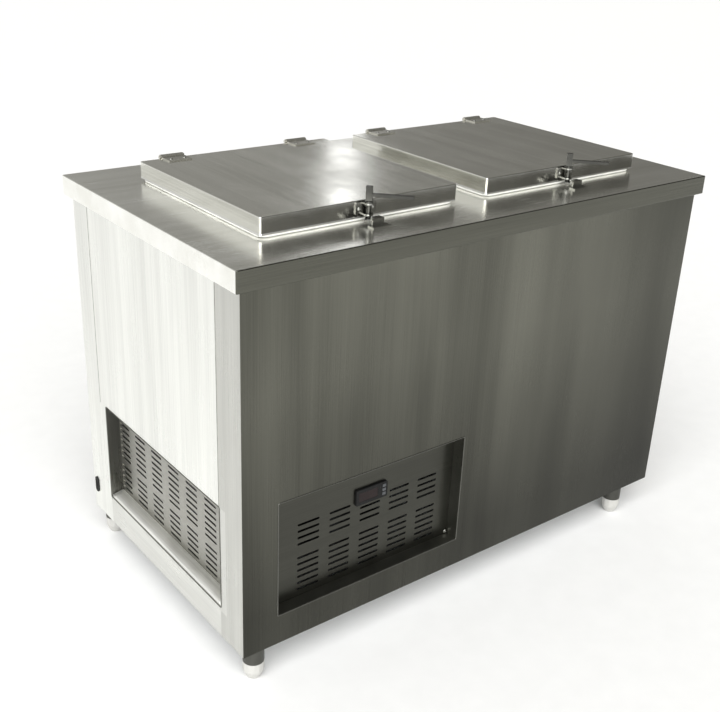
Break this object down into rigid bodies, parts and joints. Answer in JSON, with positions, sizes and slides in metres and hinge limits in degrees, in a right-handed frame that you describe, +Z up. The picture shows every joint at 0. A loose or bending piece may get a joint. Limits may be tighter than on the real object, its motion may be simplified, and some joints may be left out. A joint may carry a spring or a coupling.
{
  "type": "bulk milk tank",
  "caption": "Chest-type bulk milk cooling tank: brushed stainless cabinet on short legs, overhanging tabletop, two latched hinged lids, side and front grilles.",
  "frame": {"origin": "on the floor, under the middle of the tabletop", "axes": "+X to the right along the front, +Y to the back, +Z up"},
  "size_m": [1.2, 0.67, 0.906],
  "materials": {
    "cabinet_steel": "brushed sheet, long grain",
    "tabletop_steel": "bright brushed sheet",
    "lid_steel": "bright brushed sheet",
    "tank_steel": "smooth food-grade sheet",
    "grille_steel": "satin perforated sheet",
    "galvanised_steel": "galvanised",
    "leg_steel": "dull steel",
    "nylon_white": "moulded nylon",
    "insulation_foam": "cellular foam",
    "gasket_grey": "soft extruded seal",
    "hinge_steel": "pressed stainless",
    "latch_chrome": "bright plated",
    "copper_tube": "drawn copper, slightly dulled",
    "compressor_black": "semi-gloss black enamel",
    "fin_aluminium": "thin plain fins",
    "rubber_black": "moulded",
    "plastic_black": "fine-grained moulding",
    "plastic_grey": "fine-grained moulding",
    "window_dark": "smoked window",
    "key_grey": "rubber-touch keys",
    "screw_steel": "plated screws",
    "probe_steel": "drawn tube",
    "drain_steel": "polished pipe"
  },
  "bodies": {
    "cabinet": {"back_panel": "cabinet_steel", "base_frame": "galvanised_steel", "base_pan": "galvanised_steel", "cable_grommet": "plastic_black", "compressor": "compressor_black", "compressor_grommets": "rubber_black", "compressor_terminal_cover": "plastic_black", "condenser_coil": "fin_aluminium", "controller_housing": "plastic_black", "controller_window": "window_dark", "discharge_line": "copper_tube", "drain_pipe": "drain_steel", "drain_valve_body": "drain_steel", "electrical_box": "plastic_grey", "evaporator_coil": "copper_tube", "fan_motor": "plastic_black", "fan_shroud": "galvanised_steel", "filter_drier": "copper_tube", "front_grille": "grille_steel", "front_grille_frame": "cabinet_steel", "front_skin": "cabinet_steel", "grille_screws": "screw_steel", "hinge_bases": "hinge_steel", "hinge_pins": "hinge_steel", "inner_tank": "tank_steel", "latch_strikes": "latch_chrome", "leg_stubs": "leg_steel", "levelling_feet": "nylon_white", "liquid_line": "copper_tube", "machine_bay_liner": "galvanised_steel", "rear_posts": "cabinet_steel", "side_bottom_rail": "cabinet_steel", "side_grille": "grille_steel", "side_grille_frame": "cabinet_steel", "side_panel_left": "cabinet_steel", "side_panel_right": "cabinet_steel", "suction_line": "copper_tube", "tabletop": "tabletop_steel", "tank_insulation": "insulation_foam", "temperature_probe": "probe_steel"},
    "lid_left": {"lid_left_shell": "lid_steel", "lid_left_foam": "insulation_foam", "lid_left_liner": "tank_steel", "lid_left_gasket": "gasket_grey", "hinge_leaves_left": "hinge_steel", "latch_bracket_left": "latch_chrome"},
    "lid_right": {"lid_right_shell": "lid_steel", "lid_right_foam": "insulation_foam", "lid_right_liner": "tank_steel", "lid_right_gasket": "gasket_grey", "hinge_leaves_right": "hinge_steel", "latch_bracket_right": "latch_chrome"},
    "latch_lever_left": {"latch_lever_left": "latch_chrome"},
    "latch_lever_right": {"latch_lever_right": "latch_chrome"},
    "fan": {"fan_blade": "plastic_black"},
    "valve_handle": {"drain_valve_handle": "drain_steel"},
    "key_up": {"controller_key_up": "key_grey"},
    "key_set": {"controller_key_set": "key_grey"},
    "key_down": {"controller_key_down": "key_grey"}
  },
  "joints": [
    {"name": "lid_left_hinge", "type": "hinge", "parent": "cabinet", "child": "lid_left", "pos_m": [-0.262, 0.225, 0.8802], "axis": [-1, 0, 0], "range_deg": [0, 85]},
    {"name": "lid_right_hinge", "type": "hinge", "parent": "cabinet", "child": "lid_right", "pos_m": [0.262, 0.225, 0.8802], "axis": [-1, 0, 0], "range_deg": [0, 85]},
    {"name": "latch_left_turn", "type": "hinge", "parent": "lid_left", "child": "latch_lever_left", "pos_m": [-0.262, -0.232, 0.88], "axis": [0, 0, -1], "range_deg": [-45, 40]},
    {"name": "latch_right_turn", "type": "hinge", "parent": "lid_right", "child": "latch_lever_right", "pos_m": [0.262, -0.232, 0.88], "axis": [0, 0, -1], "range_deg": [-45, 40]},
    {"name": "fan_spin", "type": "hinge", "parent": "cabinet", "child": "fan", "pos_m": [-0.4517, 0.005, 0.2269], "axis": [1, 0, 0], "continuous": true},
    {"name": "valve_turn", "type": "hinge", "parent": "cabinet", "child": "valve_handle", "pos_m": [0.4, 0.256, 0.045], "axis": [1, 0, 0], "range_deg": [0, 90]},
    {"name": "key_up_press", "type": "slide", "parent": "cabinet", "child": "key_up", "axis": [0, 1, 0], "range_m": [0, 0.0008], "stiffness_N_per_m": 400},
    {"name": "key_set_press", "type": "slide", "parent": "cabinet", "child": "key_set", "axis": [0, 1, 0], "range_m": [0, 0.0008], "stiffness_N_per_m": 400},
    {"name": "key_down_press", "type": "slide", "parent": "cabinet", "child": "key_down", "axis": [0, 1, 0], "range_m": [0, 0.0008], "stiffness_N_per_m": 400}
  ]
}
